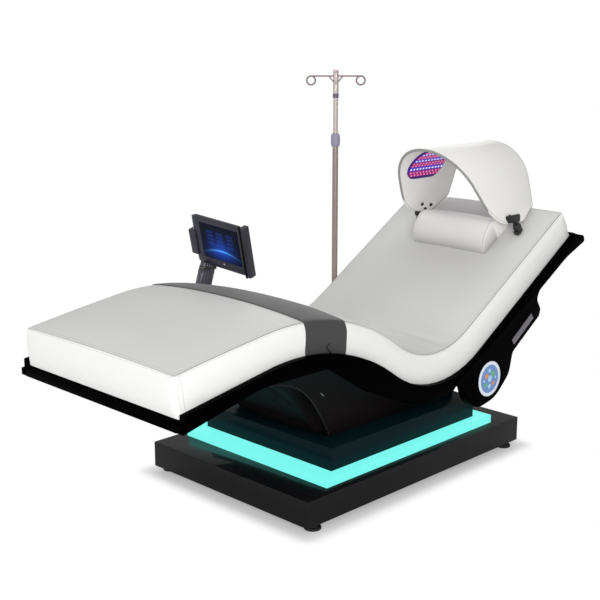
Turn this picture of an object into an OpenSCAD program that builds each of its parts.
// Light therapy lounger: a reclining bed in a white shell on a stepped plinth with a glowing slab,
// with a light arch over the head end, a pole with two hooks and a tablet on the far side.
// +X is the head end, -Y the near long side, +Z up. Origin on the floor, under the plinth's centre.

/* [Bed line] */
// Start of the mattress's top seam, along X
seam_x = -1156; // [-1200:1:-1100]
// Height of the top seam at the foot end
seam_z = 685; // [670:1:700]
// Straight run at the foot end
foot_run = 383; // [360:1:400]
// Rise of the foot run, degrees
foot_tilt = 7.7; // [7:0.1:8.4]
// Radius of the hump under the knees
hump_r = 880; // [860:1:900]
// Fall of the thigh run, degrees
knee_fall = 35; // [34:0.1:36]
// Straight run between hump and valley
mid_run = 38; // [20:1:60]
// Radius of the valley at the seat
valley_r = 365; // [355:1:380]
// Rise of the backrest, degrees
back_rise = 31.5; // [31:0.1:32]
// Straight run of the backrest
back_run = 739; // [720:1:750]

/* [Mattress] */
// Half width at the seams
mat_half = 401; // [390:1:404]
// Height of the crown over the seams
mat_crown = 22; // [10:1:28]
// Thickness down to the pan
mat_thick = 140; // [130:1:145]
// Width of the knee band along the bed
band_w = 205; // [150:1:230]
// Thickness of the knee band
band_t = 4; // [3:0.5:5]
// Distance of the knee band from the foot end, along the seam
band_at = 540; // [500:1:580]
// Running gap between soft pieces and what they lie on
soft_gap = 0.3; // [0.2:0.05:0.5]

/* [Shell] */
// Thickness of the pan
pan_t = 12; // [10:1:14]
// Inner face of the side panels, from the middle
panel_in = 408; // [406:1:412]
// Thickness of the side panels
panel_t = 28; // [24:1:32]
// Depth of the panels' top rim below the seam
rim_drop = 108; // [100:1:112]
// Distance of the rims from the foot edge
rim_back = 12; // [8:1:60]
// Thickness of the end rails
rail_t = 15; // [12:1:18]
// Radius of the white emblem ring
ring_r = 70; // [60:1:74]
// Radius of the blue emblem disc
disc_r = 56; // [40:1:58]
// Thickness of the emblem and the strip
badge_t = 3; // [2:0.5:5]
// Middle of the name strip, along X
strip_x = 587; // [583:1:590]
// Height of the name strip's middle
strip_z = 503; // [500:1:506]
// Length of the name strip
strip_l = 154; // [140:1:158]
// Width of the name strip
strip_w = 27; // [24:1:30]
// Lean of the name strip, degrees
strip_tilt = 34; // [32:0.5:35]

/* [Plinth] */
// Length of the lower plinth
low_l = 1231; // [1200:1:1260]
// Width of the lower plinth
low_w = 830; // [800:1:860]
// Height of the lower plinth
low_h = 98; // [90:1:106]
// Length of the light slab
slab_l = 963; // [940:1:1000]
// Width of the light slab
slab_w = 752; // [740:1:770]
// Height of the light slab
slab_h = 32; // [28:1:36]
// Length of the upper plinth
top_l = 829; // [815:1:845]
// Width of the upper plinth
top_w = 669; // [655:1:680]
// Height of the upper plinth
top_h = 85; // [80:1:90]
// Wall and top of the covers
cover_t = 12; // [9:1:14]
// Height of the plinth's underside over the floor
foot_h = 22; // [20:1:26]
// Diameter of a levelling foot
foot_d = 60; // [50:1:66]
// Diameter of a foot's screw
stud_d = 16; // [12:1:18]
// Thickness of the base plate
plate_t = 8; // [6:1:10]

/* [Tilt gear] */
// Pivot of the bed, along X
pivot_x = 60; // [50:1:70]
// Height of the pivot
pivot_z = 290; // [284:1:296]
// Diameter of the pivot shaft
shaft_d = 30; // [26:1:34]
// Running fit on radius of shaft and pins
fit = 0.05; // [0.02:0.01:0.1]
// Actuator's foot pin, along X
low_pin_x = -253; // [-260:1:-246]
// Height of the actuator's foot pin
low_pin_z = 80; // [78:1:84]
// Rod pin on the rocker, along X
rod_pin_x = -300; // [-306:1:-294]
// Height of the rod pin
rod_pin_z = 440; // [436:1:444]
// Diameter of the actuator pins
pin_d = 16; // [14:1:18]
// Extra diameter in the rod eye, where the linkage is opened
eye_play = 2.4; // [1.6:0.1:3]
// Diameter of the actuator tube
tube_d = 46; // [42:1:50]
// Diameter of the actuator rod
rod_d = 22; // [18:1:26]
// Run of the rocker up the backrest
rocker_on = 60; // [50:1:66]

/* [Light arch] */
// Middle of arch and bolster, along Y
head_y = -40; // [-50:1:-30]
// Front end of the arch's ridge
arch_x = 418; // [400:1:430]
// Rear end of the arch's ridge
arch_end = 894; // [880:1:905]
// Height of the ridge
arch_z = 1202; // [1190:1:1215]
// Height of the lobes' bottom
lobe_z = 892; // [891:0.5:894]
// Half width of the arch at the lobes' bottom
arch_half = 243; // [236:1:250]
// Half width of the arch's flat top corner
arch_top_half = 156; // [146:1:166]
// Radius of the arch's shoulders
arch_r = 200; // [180:1:210]
// Thickness of the arch
arch_t = 10; // [8:0.5:12]
// Width of the trim round the arch's edge
trim_w = 4; // [3:0.5:6]
// Thickness of the light panel
panel_light_t = 5; // [4:0.5:7]
// Front edge of the light panel
lights_x = 533; // [520:1:550]
// Length of the light panel
lights_l = 234; // [200:1:250]
// Height of the light panel's lower edges
lights_z = 1049; // [1030:1:1080]
// Rows of lights over half the panel
light_rows = 6; // [4:1:7]
// Hinge of the arch, along X
knuckle_x = 724; // [718:1:730]
// Height of the arch's hinge
knuckle_z = 882; // [881:0.5:884]
// Radius of the arch's knuckles
knuckle_r = 12; // [10:0.5:13]
// Diameter of the arch's hinge pins
arch_pin_d = 10; // [8:0.5:12]
// Thickness of a clamp plate
clamp_t = 6; // [5:0.5:8]
// Diameter of a clamp post
post_d = 16; // [12:1:18]

/* [Bolster] */
// Distance of the bolster's lower edge up the backrest
pil_on = 394; // [386:1:402]
// Length across the bed
pil_l = 372; // [350:1:380]
// Depth of the bolster along the backrest
pil_d = 200; // [185:1:210]
// Height of the bolster over the mattress
pil_h = 88; // [75:1:95]

/* [Pole] */
// Place of the pole, along X
pole_x = 440; // [430:1:450]
// Diameter of the lower tube
pole_d = 25; // [22:1:28]
// Diameter of the upper tube
rod_up_d = 20; // [16:1:21]
// Wall of the tubes
tube_t = 1.5; // [1:0.1:2]
// Foot of the lower tube
pole_foot = 330; // [320:1:345]
// Top of the lower tube
pole_top = 1190; // [1150:5:1230]
// Top of the upper tube
rod_top = 1490; // [1480:1:1500]
// Travel of the upper tube, upwards
rod_travel = 200; // [150:5:240]
// Span of the two hooks
hook_span = 254; // [230:1:280]
// Diameter of the hook wire
wire_d = 6.5; // [5:0.5:8]
// Outer diameter of a ring hook
hook_d = 43; // [38:1:48]

/* [Tablet] */
// Middle of the screen, along X
tab_x = -309; // [-315:1:-300]
// Middle of the screen, along Y
tab_y = 360; // [355:1:365]
// Height of the screen's middle
tab_z = 860; // [850:1:870]
// Turn of the screen to the foot end, degrees
tab_yaw = 3.4; // [2:0.1:5]
// Lean of the screen, degrees
tab_lean = 17.2; // [15:0.1:19]
// Roll of the screen, degrees
tab_roll = 6.1; // [5:0.1:7]
// Width of the screen
scr_w = 203; // [195:1:210]
// Height of the screen
scr_h = 152; // [146:1:156]
// Width of the tablet
case_w = 257; // [250:1:262]
// Height of the tablet
case_h = 210; // [202:1:216]
// Thickness of the tablet
case_t = 12; // [9:0.5:14]
// Travel of the clamp bar, outwards
bar_travel = 25; // [15:1:30]
// Top of the tablet's post, along X
post_x = -287.7; // [-290:0.1:-285]
// Post of the tablet, along Y
post_y = 468; // [464:1:472]
// Length of the post's oval section
post_w = 72; // [64:1:80]
// Width of the post's oval section
post_v = 40; // [34:1:44]
// Height of the post's top
post_top = 744; // [738:1:745]
// Lean of the post to the head end, degrees
post_lean = 17.3; // [16:0.1:18]
// Length of the post
post_len = 238; // [236:1:242]
// Diameter of the post's pivot pin
swivel_d = 20; // [16:1:22]

/* [Skirt] */
// Foot side of the skirt on the plinth, along X
skirt_x = -329; // [-335:1:-325]
// Length of the skirt on the plinth
skirt_l = 733; // [725:1:740]
// Half width of the skirt on the plinth
skirt_low = 247; // [244:1:252]
// Half width of the skirt at the shell
skirt_high = 396; // [390:1:397]
// How far the foot side is drawn in
drawn_in = 84; // [70:1:90]
// Thickness of the skirt
skirt_t = 6; // [4:0.5:8]

/* [Hidden] */
$fn = 64;

// The bed line: place, and direction in degrees, at a distance s along the top seam
s1 = foot_run;
s2 = s1 + hump_r * (foot_tilt + knee_fall) * PI / 180;
s3 = s2 + mid_run;
s4 = s3 + valley_r * (knee_fall + back_rise) * PI / 180;
s5 = s4 + back_run;
function dir(a) = [cos(a), sin(a)];
function up(a) = [-sin(a), cos(a)];
q0 = [seam_x, seam_z];
q1 = q0 + foot_run * dir(foot_tilt);
hump_c = q1 - hump_r * up(foot_tilt);
q2 = hump_c + hump_r * up(-knee_fall);
q3 = q2 + mid_run * dir(-knee_fall);
valley_c = q3 + valley_r * up(-knee_fall);
q4 = valley_c - valley_r * up(back_rise);
q5 = q4 + back_run * dir(back_rise);
function ang(s) = s <= s1 ? foot_tilt
  : s < s2 ? foot_tilt - (s - s1) / hump_r * 180 / PI
  : s <= s3 ? -knee_fall
  : s < s4 ? (s - s3) / valley_r * 180 / PI - knee_fall
  : back_rise;
function spot(s) = s <= s1 ? q0 + s * dir(foot_tilt)
  : s < s2 ? hump_c + hump_r * up(ang(s))
  : s <= s3 ? q2 + (s - s2) * dir(-knee_fall)
  : s < s4 ? valley_c - valley_r * up(ang(s))
  : q4 + (s - s4) * dir(back_rise);
// A point at distance s along the seam and d above it
function at(s, d) = spot(s) + d * up(ang(s));
// Stations that follow the two bends, from a to b, n steps in each bend
bend_n = 12;
function stations(a, b, n = bend_n) = concat([a],
  [for (i = [0:n]) let (s = s1 + (s2 - s1) * i / n) if (s > a + 4 && s < b - 4) s],
  [for (i = [0:n]) let (s = s3 + (s4 - s3) * i / n) if (s > a + 4 && s < b - 4) s], [b]);
function flip(v) = [for (i = [len(v) - 1:-1:0]) v[i]];
// A band between two depths under the seam, as an outline
function band(a, b, d1, d2) = let (v = stations(a, b))
  concat([for (s = v) at(s, d1)], [for (s = flip(v)) at(s, d2)]);

// Outlines with rounded corners: each corner is [x, y, radius]
function xy(p) = [p[0], p[1]];
function unit(v) = v / norm(v);
function corner(a, b, c, r, n) = let (u = unit(a - b), w = unit(c - b),
  h = acos(max(-1, min(1, u * w))) / 2)
  (r < 0.1 || h > 89) ? [b] : let (t = min(r / tan(h), 0.49 * norm(a - b), 0.49 * norm(c - b)),
    m = b + unit(u + w) * t / cos(h), p = b + u * t, q = b + w * t)
  [for (i = [0:n]) let (k = i / n, g = p * (1 - k) + q * k) m + unit(g - m) * norm(p - m)];
function rounded(v, n = 8) = let (k = len(v))
  [for (i = [0:k - 1]) for (p = corner(xy(v[(i + k - 1) % k]), xy(v[i]), xy(v[(i + 1) % k]), v[i][2], n)) p];
function side(a, b) = let (d = unit(b - a)) [-d[1], d[0]];
// The same corners, moved in by d (outlines run counter-clockwise)
function inset(v, d) = let (k = len(v)) [for (i = [0:k - 1])
  let (a = xy(v[(i + k - 1) % k]), b = xy(v[i]), c = xy(v[(i + 1) % k]), n1 = side(a, b), n2 = side(b, c),
    p = b + (n1 + n2) * d / (1 + n1 * n2)) [p[0], p[1], max(v[i][2] - d, 1)]];

// Extrude an outline drawn in X and Z, from y0 to y1
module along_y(y0, y1) translate([0, y1, 0]) rotate([90, 0, 0]) linear_extrude(y1 - y0) children();
// Extrude an outline drawn in Y and Z, from x0 to x1
module along_x(x0, x1) translate([x0, 0, 0]) rotate([90, 0, 90]) linear_extrude(x1 - x0) children();
module both() {
  children();
  mirror([0, 1, 0]) children();
}
// A solid through rings of points, each ring with as many points; an open strip's ends close across its thickness
module loft(rings, strip = false) {
  n = len(rings[0]);
  k = len(rings);
  pts = [for (r = rings) for (p = r) p];
  sides = [for (i = [0:k - 2]) for (j = [0:n - 1]) let (a = i * n + j, b = i * n + (j + 1) % n)
    each [[a, b, a + n], [b, b + n, a + n]]];
  e = (k - 1) * n;
  ends = strip ? [for (j = [0:n / 2 - 2]) each [[n - 1 - j, n - 2 - j, j], [n - 2 - j, j + 1, j],
    [e + j, e + n - 2 - j, e + n - 1 - j], [e + j, e + j + 1, e + n - 2 - j]]]
    : [[for (j = [n - 1:-1:0]) j], [for (j = [0:n - 1]) e + j]];
  polyhedron(pts, concat(sides, ends));
}

// Plinth and feet
low_z = foot_h;
slab_z = low_z + low_h;
top_z = slab_z + slab_h;
deck_z = top_z + top_h;
plate_z = low_z + 2;
floor_z = plate_z + plate_t;
slab_wall = 90;
well_x0 = -330;
well_x1 = 180;
well_y = 170;
foot_x = low_l / 2 - 55;
foot_y = low_w / 2 - 30;
seat_gap = 0.3;

module box(x0, x1, y0, y1, z0, z1) translate([x0, y0, z0]) cube([x1 - x0, y1 - y0, z1 - z0]);
module rod_y(x, z, d, y0, y1) translate([x, y0, z]) rotate([-90, 0, 0]) cylinder(d = d, h = y1 - y0);
module block(l, w, z0, z1) box(-l / 2, l / 2, -w / 2, w / 2, z0, z1);

// Floor plate with a fixed pad under its centre, level with the feet
module base_plate() color("dimgray") difference() {
  union() {
    block(low_l - 2 * cover_t - 7, low_w - 2 * cover_t - 6, plate_z, floor_z);
    cylinder(d = foot_d, h = plate_z + 1);
  }
  for (x = [-foot_x, foot_x], y = [-foot_y, foot_y])
    translate([x, y, 0]) cylinder(d = stud_d + 2 * fit, h = 100);
}
// A hollow cover, open below, with a well for the gear in its top
module cover(l, w, z0, z1) difference() {
  block(l, w, z0, z1);
  block(l - 2 * cover_t, w - 2 * cover_t, z0 - 1, z1 - cover_t);
  box(well_x0, well_x1, -well_y, well_y, z0, z1 + 1);
}
module lower_plinth() color([0.15, 0.14, 0.15]) {
  difference() {
    cover(low_l, low_w, low_z, slab_z);
    box(low_l / 2 - cover_t - 1, low_l / 2 + 1, -inlet_w / 2 - seat_gap, inlet_w / 2 + seat_gap,
      inlet_z - inlet_h / 2 - seat_gap, inlet_z + inlet_h / 2 + seat_gap);
  }
  for (s = [-1, 1]) {
    translate([0, s * (low_w / 2 - cover_t - 8), 0]) block(700, 16, floor_z, slab_z - cover_t);
    translate([s * (low_l / 2 - cover_t - 8), 170, 0]) block(16, 200, floor_z, slab_z - cover_t);
    translate([s * (low_l / 2 - cover_t - 8), -170, 0]) block(16, 200, floor_z, slab_z - cover_t);
  }
}
module light_slab() color([0.5, 1, 0.96]) difference() {
  block(slab_l, slab_w, slab_z, top_z);
  block(slab_l - 2 * slab_wall, slab_w - 2 * slab_wall, slab_z - 1, top_z + 1);
}
strip_t = 10;
module led_strips() color("white") difference() {
  block(slab_l - 2 * slab_wall - 2 * seat_gap, slab_w - 2 * slab_wall - 2 * seat_gap, slab_z, top_z - 8);
  block(slab_l - 2 * slab_wall - 2 * strip_t, slab_w - 2 * slab_wall - 2 * strip_t, slab_z - 1, top_z);
}
module upper_plinth() color([0.1, 0.16, 0.18]) cover(top_l, top_w, top_z, deck_z);
module foot(x, y) color("black") translate([x, y, 0]) {
  cylinder(d = foot_d, h = 9);
  cylinder(d = foot_d * 0.55, h = plate_z - seat_gap);
  cylinder(d = stud_d, h = floor_z + 16);
}
module foot_near_a() foot(-foot_x, -foot_y);
module foot_near_b() foot(foot_x, -foot_y);
module foot_far_a() foot(-foot_x, foot_y);
module foot_far_b() foot(foot_x, foot_y);

// Tilt gear: frame, shaft, rocker and actuator
rail_y = 140;
rail_w = 12;
rail_h = 60;
ear_t = 10;
eye_w = 30;
ear_y = eye_w / 2 + seat_gap;
eye_r = pin_d;
cheek_y = 110;
cheek_t = 10;
bush_t = 4;
bush_l = 24;
frame_d = 24;
rocker_top = -(mat_thick + pan_t + seat_gap);
rocker_low = rocker_top - 46;
collar_t = 14;

module base_frame() color("slategray") difference() {
  union() {
    for (s = [-1, 1]) {
      box(well_x0 + 10, well_x1 - 10, s * rail_y - rail_w / 2, s * rail_y + rail_w / 2, floor_z, floor_z + rail_h);
      box(pivot_x - 50, pivot_x + 50, s * rail_y - rail_w / 2, s * rail_y + rail_w / 2,
        floor_z, pivot_z + shaft_d);
      box(low_pin_x - eye_r, low_pin_x + eye_r, s > 0 ? ear_y : -ear_y - ear_t,
        s > 0 ? ear_y + ear_t : -ear_y, floor_z + plate_t, low_pin_z + eye_r);
    }
    box(well_x0 + 10, low_pin_x + 60, -rail_y, rail_y, floor_z, floor_z + plate_t);
    box(well_x1 - 60, well_x1 - 10, -rail_y, rail_y, floor_z, floor_z + plate_t);
  }
  rod_y(pivot_x, pivot_z, shaft_d + 2 * fit, -200, 200);
  rod_y(low_pin_x, low_pin_z, pin_d + 2 * fit, -50, 50);
}
shaft_y = rail_y + rail_w / 2 + seat_gap + collar_t + 3;
module pivot_shaft() color("silver") rod_y(pivot_x, pivot_z, shaft_d, -shaft_y, shaft_y);
module shaft_collars() color("dimgray") both() difference() {
  rod_y(pivot_x, pivot_z, shaft_d + 16, rail_y + rail_w / 2 + seat_gap, rail_y + rail_w / 2 + seat_gap + collar_t);
  rod_y(pivot_x, pivot_z, shaft_d + 2 * fit, 0, 200);
}
bush_d = shaft_d + 2 * fit + 2 * bush_t;
module pivot_bushes() color("peru") both() difference() {
  rod_y(pivot_x, pivot_z, bush_d, cheek_y - bush_l / 2, cheek_y + bush_l / 2);
  rod_y(pivot_x, pivot_z, shaft_d + 2 * fit, 0, 200);
}
rocker_a = s1 + (s2 - s1) * 3 / bend_n;
rocker_b = s4 + rocker_on;
web_half = 85;
rod_at = [rod_pin_x, rod_pin_z];
tube_a = rod_at + (eye_r + frame_d / 2 + 8) * unit(rod_at - hump_c);
tube_b = at(rocker_a + 40, (rocker_top + rocker_low) / 2);
tube_c = at(rocker_b - 40, (rocker_top + rocker_low) / 2);
module rocker_outline() {
  polygon(band(rocker_a, rocker_b, rocker_top, rocker_low));
  polygon([[pivot_x - 34, pivot_z], [pivot_x + 34, pivot_z], at((s3 + s4) / 2 + web_half, rocker_top - 20),
    at((s3 + s4) / 2 - web_half, rocker_top - 20)]);
  translate([pivot_x, pivot_z]) circle(r = 34);
  translate(tube_a) circle(d = frame_d);
}
module rocker_frame() color("darkslategray") difference() {
  union() {
    both() along_y(cheek_y - cheek_t / 2, cheek_y + cheek_t / 2) rocker_outline();
    for (p = [tube_a, tube_b, tube_c]) rod_y(p[0], p[1], frame_d, -cheek_y, cheek_y);
    both() {
      rod_y(rod_pin_x, rod_pin_z, 2 * eye_r, ear_y, ear_y + ear_t);
      box(rod_pin_x - eye_r, rod_pin_x + eye_r, ear_y, ear_y + ear_t, rod_pin_z, tube_a[1]);
    }
  }
  both() rod_y(pivot_x, pivot_z, bush_d + 2 * fit, cheek_y - bush_l, cheek_y + bush_l);
  rod_y(rod_pin_x, rod_pin_z, pin_d + 2 * fit, -50, 50);
}
reach = [rod_pin_x - low_pin_x, rod_pin_z - low_pin_z];
act_l = norm(reach);
module along_actuator() translate([low_pin_x, 0, low_pin_z]) rotate([0, atan2(reach[0], reach[1]), 0]) children();
tube_top = 262;
motor_d = 60;
motor_x = tube_d / 2 + motor_d / 2 + 3;
gear_z0 = 20;
gear_z1 = 44;
module actuator_tube() color("dimgray") along_actuator() difference() {
  union() {
    rod_y(0, 0, 2 * eye_r, -eye_w / 2, eye_w / 2);
    box(-eye_r, eye_r, -eye_w / 2, eye_w / 2, 0, gear_z0 + 2);
    cylinder(d = tube_d, h = tube_top);
    box(-tube_d / 2, motor_x + motor_d / 2, -motor_d / 2, motor_d / 2, gear_z0, gear_z1);
  }
  translate([0, 0, gear_z0 + 10]) cylinder(d = rod_d + 2 * fit, h = tube_top);
  rod_y(0, 0, pin_d + 2 * fit, -50, 50);
  difference() {
    translate([0, 0, -eye_r - 10]) cylinder(d = 80, h = eye_r + 10 + gear_z0 - 0.01);
    box(-eye_r, eye_r, -eye_w / 2, eye_w / 2, -eye_r - 20, gear_z0);
  }
}
module actuator_motor() color("black") along_actuator()
  translate([motor_x, 0, gear_z1 + seat_gap]) cylinder(d = motor_d, h = 130);
module actuator_rod() color("silver") along_actuator() difference() {
  union() {
    translate([0, 0, 120]) cylinder(d = rod_d, h = act_l - 120);
    rod_y(0, act_l, 2 * eye_r, -eye_w / 2, eye_w / 2);
  }
  rod_y(0, act_l, pin_d + eye_play, -50, 50);
}
module pin(x, z, d, y) color("silver") {
  rod_y(x, z, d, -y, y);
  rod_y(x, z, d + 8, y, y + 4);
}
module low_pin() pin(low_pin_x, low_pin_z, pin_d, ear_y + ear_t + seat_gap);
module rod_pin() pin(rod_pin_x, rod_pin_z, pin_d, ear_y + ear_t + seat_gap);
module control_box() color("black") box(well_x1 + 50, well_x1 + 240, -150, 60, floor_z, slab_z - cover_t - 8);
inlet_w = 48;
inlet_h = 30;
inlet_z = low_z + low_h / 2;
module power_inlet() color("black") difference() {
  union() {
    box(low_l / 2 - 30, low_l / 2, -inlet_w / 2, inlet_w / 2, inlet_z - inlet_h / 2, inlet_z + inlet_h / 2);
    box(low_l / 2 + seat_gap, low_l / 2 + 3, -inlet_w / 2 - 6, inlet_w / 2 + 6,
      inlet_z - inlet_h / 2 - 4, inlet_z + inlet_h / 2 + 4);
    box(low_l / 2 - 1, low_l / 2 + 3, -inlet_w / 2, inlet_w / 2, inlet_z - inlet_h / 2, inlet_z + inlet_h / 2);
  }
  box(low_l / 2 - 16, low_l / 2 + 10, -12, 12, inlet_z - 8, inlet_z + 8);
}

// Shell: pan, rails and side panels
pan_low = -(mat_thick + pan_t);
panel_out = panel_in + panel_t;
foot_end = seam_x - 9;
rim_a = (foot_end - seam_x - rim_drop * sin(foot_tilt)) / cos(foot_tilt);
rim_b = s5 - 9;
// Lower edge of a side panel: distance along the seam, depth under it, corner radius
panel_low = [[-33, -178, 6], [299, -148, 400], [654, -156, 120], [953, -211, 160], [1202, -189, 200],
  [1327, -159, 120], [1345, -146, 8], [1378, -151, 20], [1385, -223, 70], [1419, -299, 100],
  [1483, -329, 150], [1584, -306, 80], [1645, -244, 30], [1857, -237, 16], [1879, -218, 20],
  [1877, -163, 26], [1910, -144, 22], [2127, -150, 400], [2267, -176, 10], [2273, -149, 14]];
// The rim starts behind the foot rail, which the mattress overhangs
rim_start = rim_a + rim_back;
panel_line = concat([for (p = panel_low) let (q = at(p[0], p[1])) [q[0], q[1], p[2]]],
  [for (s = flip(stations(rim_start, rim_b))) let (q = at(s, -rim_drop)) [q[0], q[1], s == rim_b ? 20 : 0]],
  [[at(rim_start, -rim_drop)[0], seam_z - 149, 0], [foot_end + 4, seam_z - 149, 0], [foot_end, seam_z - 153, 0]]);
module shell_pan() color([0.03, 0.03, 0.03]) along_y(-panel_in, panel_in) polygon(band(0, s5, pan_low, -mat_thick));
module foot_rail() color([0.03, 0.03, 0.03]) along_y(-panel_in, panel_in)
  polygon([[foot_end, seam_z - 179], at(0, -180), at(0, -mat_thick - 4), [foot_end + 4, seam_z - 149],
    [foot_end, seam_z - 153]]);
module head_rail() color([0.03, 0.03, 0.03]) along_y(-panel_in, panel_in)
  polygon(rounded([for (p = [[s5 + seat_gap, -110, 4], [s5 + seat_gap, -166, 4], [2267, -176, 10], [2273, -149, 14]])
    let (q = at(p[0], p[1])) [q[0], q[1], p[2]]]));
module side_panel_near() color([0.03, 0.03, 0.03]) along_y(-panel_out, -panel_in) polygon(rounded(panel_line));
module side_panel_far() color([0.03, 0.03, 0.03]) mirror([0, 1, 0]) along_y(-panel_out, -panel_in) polygon(rounded(panel_line));
badge_x = 373;
badge_z = 342;
module badge(r0, r1) both() difference() {
  rod_y(badge_x, badge_z, 2 * r1, panel_out, panel_out + badge_t);
  if (r0 > 0) rod_y(badge_x, badge_z, 2 * r0, panel_out - 1, panel_out + badge_t + 1);
}
module emblem_rings() color("white") badge(disc_r + 0.2, ring_r);
module emblem_discs() color("steelblue") badge(0, disc_r);
module name_strips() color([0.6, 0.66, 0.7]) both() along_y(panel_out, panel_out + badge_t)
  translate([strip_x, strip_z]) rotate(strip_tilt) square([strip_l, strip_w], center = true);

// Mattress, knee band, lead and bolster
// Height of the crown over the seams, across and along
function crown(s, y) = mat_crown * (1 - pow(min(1, abs(y) / mat_half), 2.2))
  * min(1, 0.3 + 0.7 * sin(90 * min(1, max(0, min(s, s5 - s)) / 90)));
// Half section of the mattress: share of the half width, height; the sides are drawn in under the seam
side_line = [[1, 0], [0.994, -5], [1.003, -30], [1.006, -62], [1.001, -100], [0.985, -mat_thick + soft_gap]];
top_steps = 12;
function mat_ring(s, g = 0) = let (w = mat_half + g)
  [for (y = concat([for (p = side_line) [w * p[0], p[1]]], [for (p = flip(side_line)) [-w * p[0], p[1]]],
    [for (i = [1:top_steps - 1]) let (v = -w + 2 * w * i / top_steps) [v, crown(s, v) + g]]))
    let (q = at(s, y[1])) [q[0], y[0], q[1]]];
mat_stations = concat([0, 30, 90], stations(180, s5 - 180), [s5 - 90, s5 - 30, s5]);
module mattress() color([0.9, 0.9, 0.89]) difference() {
  loft([for (s = mat_stations) mat_ring(s)]);
  posts(post_d + 2 * soft_gap);
}
// The band lies round the mattress and ends behind the panels' rims
band_b = band_at + band_w;
function half_band(s, a, b) = let (w = mat_half, low = -rim_drop - 6,
  line = [[1, 0], [0.994, -5], [1.003, -30], [1.006, -62], [1.003, low]],
  top = [for (i = [1:top_steps - 1]) -w + 2 * w * i / top_steps],
  outer = concat([for (p = flip(line)) [(w + b) * p[0], p[1] + (p[1] > -2 ? b : 0)]],
    [for (v = flip(top)) [v, crown(s, v) + b]], [for (p = line) [-(w + b) * p[0], p[1] + (p[1] > -2 ? b : 0)]]),
  inner = concat([for (p = flip(line)) [-(w + a) * p[0], p[1] + (p[1] > -2 ? a : 0)]],
    [for (v = top) [v, crown(s, v) + a]], [for (p = line) [(w + a) * p[0], p[1] + (p[1] > -2 ? a : 0)]]))
  [for (p = concat(outer, inner)) let (q = at(s, p[1])) [q[0], p[0], q[1]]];
module knee_band() color([0.27, 0.27, 0.27])
  loft([for (i = [0:6]) half_band(band_at + band_w * i / 6, soft_gap, soft_gap + band_t)], true);
lead_d = 4;
eyelet_d = 11;
band_out = mat_half * 1.006 + soft_gap + band_t;
lead_y = -band_out - 1.5 - soft_gap;
lead_pts = [[-504, lead_y, 652], [-521, lead_y - 3, 646], [-513, lead_y - 4, 630], [-514, lead_y - 17, 627]];
module knee_lead() color("black") {
  for (i = [0:2]) {
    a = lead_pts[i];
    d = lead_pts[i + 1] - a;
    translate(a) rotate([0, acos(d[2] / norm(d)), atan2(d[1], d[0])]) cylinder(d = lead_d, h = norm(d), $fn = 16);
    translate(lead_pts[i + 1]) sphere(d = lead_d + 0.8, $fn = 16);
  }
  rod_y(lead_pts[0][0], lead_pts[0][2], eyelet_d, lead_y - 1, lead_y + 1.5);
}
pil_s = s4 + pil_on;
// Section of the bolster: share of the depth, share of the height
pil_line = [[0, 0], [0.04, 0.32], [0.15, 0.63], [0.31, 0.86], [0.49, 1], [0.65, 0.92], [0.83, 0.6],
  [0.96, 0.2], [1, 0], [0.75, 0], [0.5, 0], [0.25, 0]];
function pil_ring(y, k) = [for (p = pil_line) let (s = pil_s + pil_d * (0.5 + (p[0] - 0.5) * k),
  q = at(s, crown(s, y) + soft_gap + 1 + pil_h * p[1] * k)) [q[0], y, q[1]]];
pil_ends = [[0, 0.955], [4, 0.985], [12, 0.975], [60, 0.99], [186, 1]];
module bolster() color("white") loft(concat(
  [for (e = pil_ends) pil_ring(head_y + pil_l / 2 - min(e[0], pil_l / 2), e[1])],
  [for (i = [3:-1:0]) pil_ring(head_y - pil_l / 2 + pil_ends[i][0], pil_ends[i][1])]));

// Skirt between shell and plinth, with its drawn-in foot end and folds
skirt_gap = 8;
skirt_a = 300;
skirt_b = 1640;
skirt_z = deck_z + seat_gap;
// Loop of the skirt: [share towards the head, side, foot weight]
foot_n = 14;
side_n = 12;
loop_foot = [for (i = [0:foot_n]) [0, 1 - 2 * i / foot_n]];
loop_near = [for (i = [1:side_n]) [i / side_n, -1]];
loop_head = [for (i = [1:5]) [1, -1 + 2 * i / 6]];
loop_far = [for (i = [side_n:-1:1]) [i / side_n, 1]];
skirt_loop = concat(loop_foot, loop_near, loop_head, loop_far);
function bottom_pt(u, g) = let (x = skirt_x + skirt_l * u[0] + (u[0] == 0 ? -22 * (1 - u[1] * u[1]) : 0))
  [x + (u[0] == 0 ? g : u[0] == 1 ? -g : 0), u[1] * (skirt_low - g), skirt_z];
function top_pt(u, g) = let (q = at(skirt_a + (skirt_b - skirt_a) * u[0], pan_low - skirt_gap))
  [q[0] + (u[0] == 0 ? g : u[0] == 1 ? -g : 0), u[1] * (skirt_high - g), q[1]];
function fold(u, w) = u[0] == 0 ? 14 * sin(180 * w) * cos(720 * u[1]) : 0;
function skirt_pt(u, w, g) = let (b = bottom_pt(u, g), t = top_pt(u, g),
  f = pow(max(0, 1 - u[0] * 2.6), 1.5), k = drawn_in * sin(180 * w) * f + fold(u, w))
  b + (t - b) * w + [0.5 * k, 0, 0.86 * k] + [0, -u[1] * (abs(u[1]) == 1 ? 16 : 0) * sin(180 * w), 0];
skirt_w = [0, 0.12, 0.28, 0.46, 0.64, 0.82, 1];
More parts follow.
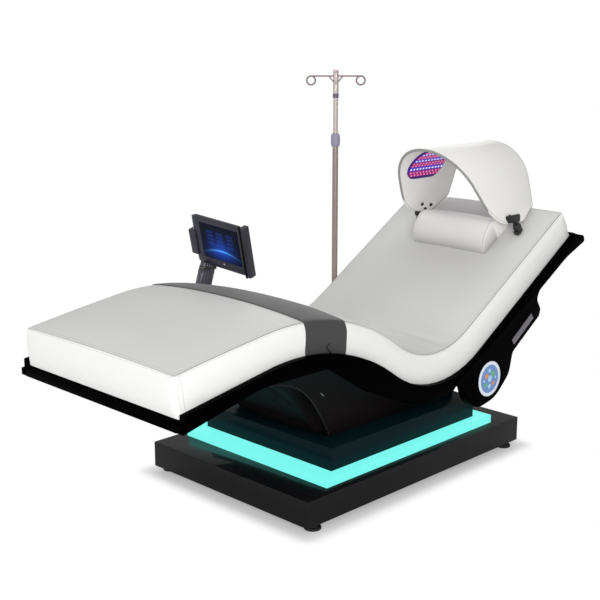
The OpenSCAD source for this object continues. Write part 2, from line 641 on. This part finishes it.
module skirt() color([0.05, 0.05, 0.05]) {
  n = len(skirt_loop);
  outer = [for (w = skirt_w) [for (u = skirt_loop) skirt_pt(u, w, 0)]];
  inner = [for (w = flip(skirt_w)) [for (u = skirt_loop) skirt_pt(u, w, skirt_t)]];
  rings = concat(outer, inner);
  m = len(rings);
  polyhedron([for (r = rings) for (p = r) p], [for (i = [0:m - 1]) for (j = [0:n - 1])
    let (a = i * n + j, b = i * n + (j + 1) % n, c = ((i + 1) % m) * n + j, d = ((i + 1) % m) * n + (j + 1) % n)
    each [[a, b, c], [b, d, c]]]);
}
// The tag lies on one face of the near side's cloth
tag_a = skirt_pt(loop_near[0], skirt_w[2], 0);
tag_u = skirt_pt(loop_near[1], skirt_w[2], 0) - tag_a;
tag_v = skirt_pt(loop_near[0], skirt_w[3], 0) - tag_a;
tag_n = unit(cross(tag_u, tag_v));
tag_s = tag_n[1] < 0 ? 1 : -1;
module skirt_tag() color("silver") loft([for (h = tag_s > 0 ? [soft_gap, 1.5] : [-soft_gap, -1.5])
  [for (k = [[0.1, 0.08], [0.42, 0.08], [0.42, 0.5], [0.1, 0.5]]) tag_a + tag_u * k[0] + tag_v * k[1] + tag_n * h]]);

// Light arch with its panel, clamps and posts
lean = atan((arch_half - arch_top_half) / (arch_z - lobe_z));
function lobe_y(z, t = 0) = arch_half - (z - lobe_z) * tan(lean) - t / cos(lean);
function arch_line(t) = [[-lobe_y(850, t), 850, 0], [lobe_y(850, t), 850, 0],
  [lobe_y(arch_z - t, t), arch_z - t, arch_r - t], [-lobe_y(arch_z - t, t), arch_z - t, arch_r - t]];
arch_side = [[arch_x - 12, arch_z + 20, 0], [607, lobe_z, 220], [791, lobe_z, 40], [880, 950, 30],
  [arch_end + 1, arch_z + 20, 0]];
module arch_ring(t0, t1, x0, x1) translate([0, head_y, 0]) along_x(x0, x1) difference() {
  polygon(rounded(arch_line(t0), 16));
  polygon(rounded(arch_line(t1), 16));
  translate([-400, 840]) square([800, 12]);
}
module arch_cut(d) along_y(head_y - 300, head_y + 300) polygon(rounded(inset(arch_side, d), 12));
module lobes() for (m = [0, 1]) translate([0, head_y, 0]) mirror([0, m, 0]) children();
// Children stand on a lobe's outer face: Z outwards, Y down
module on_lobe(x, z) translate([x, lobe_y(z), z]) rotate([lean - 90, 0, 0]) children();
bolt_spots = [[702, 929], [765, 920], [731, 905]];
bolt_d = 6;
module arch_shell() color("white") difference() {
  intersection() {
    arch_ring(0, arch_t, 300, 1000);
    arch_cut(trim_w);
  }
  lobes() for (p = bolt_spots) on_lobe(p[0], p[1]) translate([0, 0, -30]) cylinder(d = bolt_d + 2 * fit, h = 40);
}
module arch_trim() color("gray") intersection() {
  arch_ring(0, arch_t, 300, 1000);
  difference() {
    arch_cut(0);
    arch_cut(trim_w);
  }
}
panel_in_t = arch_t + seat_gap;
module light_panel() color("lavender") intersection() {
  arch_ring(panel_in_t, panel_in_t + panel_light_t, 300, 1000);
  along_y(head_y - 300, head_y + 300) polygon(rounded([[lights_x, lights_z, 60], [lights_x + lights_l, lights_z, 60],
    [lights_x + lights_l, arch_z + 10, 0], [lights_x, arch_z + 10, 0]]));
}
row_w = 8;
row_t = 3;
row_r = arch_r - panel_in_t - panel_light_t - seat_gap;
arc_y = arch_top_half - arch_r * tan((90 - lean) / 2);
row_step = 12;
// Rows of small lights along the bed, every other row of the other colour
module rows(odd) translate([0, head_y, arch_z - arch_r]) for (i = [-light_rows:light_rows])
  if (abs(i) % 2 == odd) let (a = i * row_step, cut = abs(i) > light_rows - 2 ? 26 * (abs(i) - light_rows + 2) : 6)
    translate([0, arc_y * sign(i), 0]) rotate([-a, 0, 0])
      box(lights_x + cut, lights_x + lights_l - cut, -row_w / 2, row_w / 2, row_r - row_t - 0.5, row_r - 0.5);
module lights_red() color("crimson") rows(1);
module lights_blue() color("blueviolet") rows(0);
ear_in = arch_half + 3.3;
ear_w = 10;
low_ear_w = 8;
foot_mid = ear_in + ear_w;
knuckle = [knuckle_x, knuckle_z];
module on_back() translate([knuckle_x, 0, knuckle_z]) rotate([0, -back_rise, 0]) children();
knuckle_up = (knuckle - q4) * up(back_rise);
module arch_clamps() color("black") lobes() {
  difference() {
    union() {
      on_lobe(720, 913) linear_extrude(clamp_t)
        polygon(rounded([[-52, -15, 8], [-38, 16, 6], [38, 16, 6], [52, -15, 8]]));
      rod_y(knuckle_x, knuckle_z, 2 * knuckle_r, ear_in, ear_in + ear_w);
      box(knuckle_x - knuckle_r + 1, knuckle_x + knuckle_r - 1, ear_in - 1.5, ear_in + ear_w, knuckle_z, lobe_z + 12);
    }
    rod_y(knuckle_x, knuckle_z, arch_pin_d + 2 * fit, 200, 300);
    for (p = bolt_spots) on_lobe(p[0], p[1]) translate([0, 0, -1]) cylinder(d = bolt_d + 2 * fit, h = clamp_t);
  }
}
module arch_bolts() color("black") lobes() for (p = bolt_spots) on_lobe(p[0], p[1]) {
  translate([0, 0, -arch_t - 4]) cylinder(d = 15, h = 4);
  translate([0, 0, -arch_t - 1]) cylinder(d = bolt_d, h = arch_t + clamp_t - 1);
}
module arch_pins() color("silver") lobes() {
  rod_y(knuckle_x, knuckle_z, arch_pin_d, ear_in + 0.5, ear_in + ear_w + seat_gap + low_ear_w + 1);
  rod_y(knuckle_x, knuckle_z, arch_pin_d + 6, ear_in + ear_w + 2 * seat_gap + low_ear_w,
    ear_in + ear_w + low_ear_w + 3);
}
foot_h0 = mat_crown - 4 - knuckle_up;
foot_h1 = -knuckle_r - 2;
module posts(d) lobes() on_back() translate([0, foot_mid, -mat_thick - knuckle_up])
  cylinder(d = d, h = mat_thick + knuckle_up + foot_h1 - 4);
module clamp_posts() color("black") {
  posts(post_d);
  lobes() difference() {
    union() {
      on_back() box(-17, 17, ear_in - 1, ear_in + ear_w + low_ear_w + 2, foot_h0, foot_h1);
      rod_y(knuckle_x, knuckle_z, 2 * knuckle_r, ear_in + ear_w + seat_gap, ear_in + ear_w + seat_gap + low_ear_w);
      on_back() box(1 - knuckle_r, knuckle_r - 1, ear_in + ear_w + seat_gap,
        ear_in + ear_w + seat_gap + low_ear_w, foot_h1 - 2, 0);
    }
    rod_y(knuckle_x, knuckle_z, arch_pin_d + 2 * fit, 200, 300);
  }
}

// Pole with its hooks
pole_y = panel_out + 20;
collar_h = 57;
collar_z = pole_top - 15;
sleeve_d = 23;
sleeve_z = 1399;
arm_z = 1473;
module pole(d, z0, z1) translate([pole_x, pole_y, z0]) cylinder(d = d, h = z1 - z0);
module pole_brackets() color("gray") for (z = [430, 492]) difference() {
  union() {
    pole(pole_d + 12, z, z + 24);
    box(pole_x - 18, pole_x + 18, panel_out, pole_y, z, z + 24);
  }
  pole(pole_d + 2 * fit, z - 1, z + 25);
}
module pole_tube() color([0.5, 0.45, 0.42]) difference() {
  pole(pole_d, pole_foot, pole_top);
  pole(pole_d - 2 * tube_t, pole_foot + 5, pole_top + 1);
}
module pole_collar() color([0.6, 0.58, 0.66]) difference() {
  pole(pole_d + 15, collar_z, collar_z + collar_h);
  pole(pole_d + 2 * fit, collar_z - 1, pole_top + seat_gap);
  pole(rod_up_d + 2 * fit, collar_z, collar_z + collar_h + 1);
}
rod_foot = 770;
module pole_rod() color([0.7, 0.66, 0.64]) difference() {
  pole(rod_up_d, rod_foot, rod_top);
  pole(rod_up_d - 2 * tube_t, rod_foot - 1, rod_top - 3);
}
module rod_collar() color([0.4, 0.37, 0.45]) difference() {
  pole(sleeve_d + 3, sleeve_z - 17, sleeve_z - seat_gap);
  pole(rod_up_d + 2 * fit, sleeve_z - 20, sleeve_z);
}
arm_l = hook_span / 2 - hook_d / 2;
module arms() translate([pole_x, pole_y, arm_z]) rotate([0, 0, -45]) children();
module hook_head() color([0.7, 0.66, 0.64]) difference() {
  pole(sleeve_d, sleeve_z, rod_top + 9);
  pole(rod_up_d + 2 * fit, sleeve_z - 1, rod_top + seat_gap);
}
ring_mid = (hook_d - wire_d) / 2;
brace_h = 36;
// One wire each side: arm, ring and brace, ending at the sleeve
module hook_wires() color([0.5, 0.38, 0.38]) difference() {
  arms() for (m = [0, 180]) rotate([0, 0, m]) {
    rotate([0, 90, 0]) cylinder(d = wire_d - 0.6, h = arm_l - 6, $fn = 24);
    translate([0, 0, -brace_h]) rotate([0, 40, 0]) cylinder(d = wire_d - 1.5, h = brace_h / cos(40), $fn = 24);
    translate([arm_l, 0, -ring_mid]) rotate([90, 0, 0])
      rotate_extrude($fn = 32) translate([ring_mid, 0]) circle(d = wire_d, $fn = 16);
  }
  pole(sleeve_d, arm_z - 60, arm_z + 20);
}

// Tablet on its post
module on_tablet() translate([tab_x, tab_y, tab_z]) rotate([0, 0, tab_yaw]) rotate([0, -tab_lean, 0])
  rotate([90, 0, -90]) rotate([0, 0, -tab_roll]) children();
case_x = -6.5;
case_y = -5;
case_a = case_x - case_w / 2;
case_b = case_x + case_w / 2;
eye_x = -100;
eye_u = -45;
eye_n = -38;
tilt_r = 12;
tilt_pin_d = 10;
tilt_w = 26;
module slab_on(x0, x1, y0, y1, z0, z1, r) translate([0, 0, z0]) linear_extrude(z1 - z0)
  polygon(rounded([[x0, y0, r], [x1, y0, r], [x1, y1, r], [x0, y1, r]]));
module tablet_case() color([0.24, 0.23, 0.25]) on_tablet() difference() {
  slab_on(case_a, case_b, case_y - case_h / 2, case_y + case_h / 2, -case_t, 0, 16);
  slab_on(-scr_w / 2 - 0.2, scr_w / 2 + 0.2, -scr_h / 2 - 0.2, scr_h / 2 + 0.2, -2, 1, 3);
  translate([4, -scr_h / 2 - 12, -5]) cylinder(d = button_d + 0.6, h = 10);
}
module tablet_screen() color("lightgray") on_tablet() slab_on(-scr_w / 2, scr_w / 2, -scr_h / 2, scr_h / 2, -2, -0.2, 3);
button_d = 9;
module home_button() color("dimgray") on_tablet() translate([4, -scr_h / 2 - 12, -3]) cylinder(d = button_d, h = 3.4);
hold_z1 = -case_t - seat_gap;
hold_z0 = hold_z1 - 12;
hold_r = 118;
tongue_w = 30;
module tablet_holder() color("black") on_tablet() difference() {
  union() {
    box(-150, hold_r, -50, 30, hold_z0, hold_z1);
    translate([eye_x - tilt_w / 2, eye_u, eye_n]) rotate([0, 90, 0]) cylinder(r = tilt_r, h = tilt_w);
    box(eye_x - tilt_w / 2, eye_x + tilt_w / 2, eye_u - tilt_r + 2, eye_u + tilt_r, eye_n, hold_z0 + 1);
  }
  box(20, hold_r + 1, -tongue_w / 2 - seat_gap, tongue_w / 2 + seat_gap, hold_z0 + 3, hold_z1 - 3);
  translate([eye_x - 60, eye_u, eye_n]) rotate([0, 90, 0]) cylinder(d = tilt_pin_d + 2 * fit, h = 120);
}
module left_claw() color("black") on_tablet() {
  box(case_a - 28, case_a - seat_gap, -75, 30, hold_z1, 6);
  box(case_a - 28, -150 - seat_gap, -75, 30, hold_z0, hold_z1 + 1);
  box(case_a - 2, case_a + 8, -75, 30, seat_gap, 6);
}
module clamp_bar() color("black") on_tablet() {
  box(case_b + seat_gap, case_b + 33, case_y - case_h / 2 - 2, case_y + case_h / 2 + 2, hold_z0, 6);
  box(case_b - 4, case_b + 4, case_y - case_h / 2 - 2, case_y + case_h / 2 + 2, seat_gap, 6);
  box(case_b - 70, case_b + 4, -tongue_w / 2, tongue_w / 2, hold_z0 + 3 + seat_gap, hold_z1 - 3 - seat_gap);
}
module on_post() translate([post_x, post_y, post_top]) rotate([0, post_lean, 0]) children();
module oval(g, z0, z1) translate([0, 0, z0]) linear_extrude(z1 - z0)
  polygon(rounded([[-post_w / 2 - g, -post_v / 2 - g, post_v / 2 + g - 0.5],
    [post_w / 2 + g, -post_v / 2 - g, post_v / 2 + g - 0.5], [post_w / 2 + g, post_v / 2 + g, post_v / 2 + g - 0.5],
    [-post_w / 2 - g, post_v / 2 + g, post_v / 2 + g - 0.5]], 12));
socket_h = 52;
socket_t = 8;
module tablet_bracket() color("dimgray") on_post() difference() {
  union() {
    oval(socket_t, -post_len - 4, -post_len - 4 + socket_h);
    box(-post_w / 2, post_w / 2, panel_out - post_y, 0, -post_len + 2, -post_len + socket_h - 6);
  }
  oval(0.1, -post_len, -post_len + socket_h);
}
swivel_l = 70;
module tablet_post() color("dimgray") on_post() difference() {
  oval(0, -post_len, 0);
  translate([0, 0, -swivel_l]) cylinder(d = swivel_d + 2 * fit, h = swivel_l + 1);
}
arm_base = 8;
arm_back = 12;
module tablet_arm() color("black") {
  on_post() {
    translate([0, 0, -swivel_l + 3]) cylinder(d = swivel_d, h = swivel_l);
    oval(-0.5, seat_gap, arm_base);
    box(arm_back, post_w / 2 - 2, -post_v / 2 + 3, post_v / 2 - 3, arm_base - 2, 60);
  }
  on_tablet() translate([eye_x, eye_u, eye_n]) {
    for (m = [0, 1]) mirror([m, 0, 0]) {
      translate([tilt_w / 2 + seat_gap, 0, 0]) rotate([0, 90, 0]) cylinder(r = tilt_r, h = 8);
      box(tilt_w / 2 + seat_gap, tilt_w / 2 + seat_gap + 8, -52, 0, -tilt_r, tilt_r - 1);
    }
    box(-tilt_w / 2 - seat_gap - 8, tilt_w / 2 + seat_gap + 8, -52, -tilt_r - 4, -tilt_r, tilt_r - 1);
    translate([-tilt_w / 2 - 10, 0, 0]) rotate([0, 90, 0]) cylinder(d = tilt_pin_d, h = tilt_w + 20);
  }
}

base_plate();
lower_plinth();
light_slab();
led_strips();
upper_plinth();
foot_near_a();
foot_near_b();
foot_far_a();
foot_far_b();
base_frame();
pivot_shaft();
shaft_collars();
pivot_bushes();
rocker_frame();
actuator_tube();
actuator_motor();
actuator_rod();
low_pin();
rod_pin();
control_box();
power_inlet();
shell_pan();
foot_rail();
head_rail();
side_panel_near();
side_panel_far();
emblem_rings();
emblem_discs();
name_strips();
mattress();
knee_band();
knee_lead();
bolster();
skirt();
skirt_tag();
arch_shell();
arch_trim();
light_panel();
lights_red();
lights_blue();
arch_clamps();
arch_bolts();
arch_pins();
clamp_posts();
pole_brackets();
pole_tube();
pole_collar();
pole_rod();
rod_collar();
hook_head();
hook_wires();
tablet_bracket();
tablet_post();
tablet_arm();
tablet_holder();
left_claw();
clamp_bar();
tablet_case();
tablet_screen();
home_button();
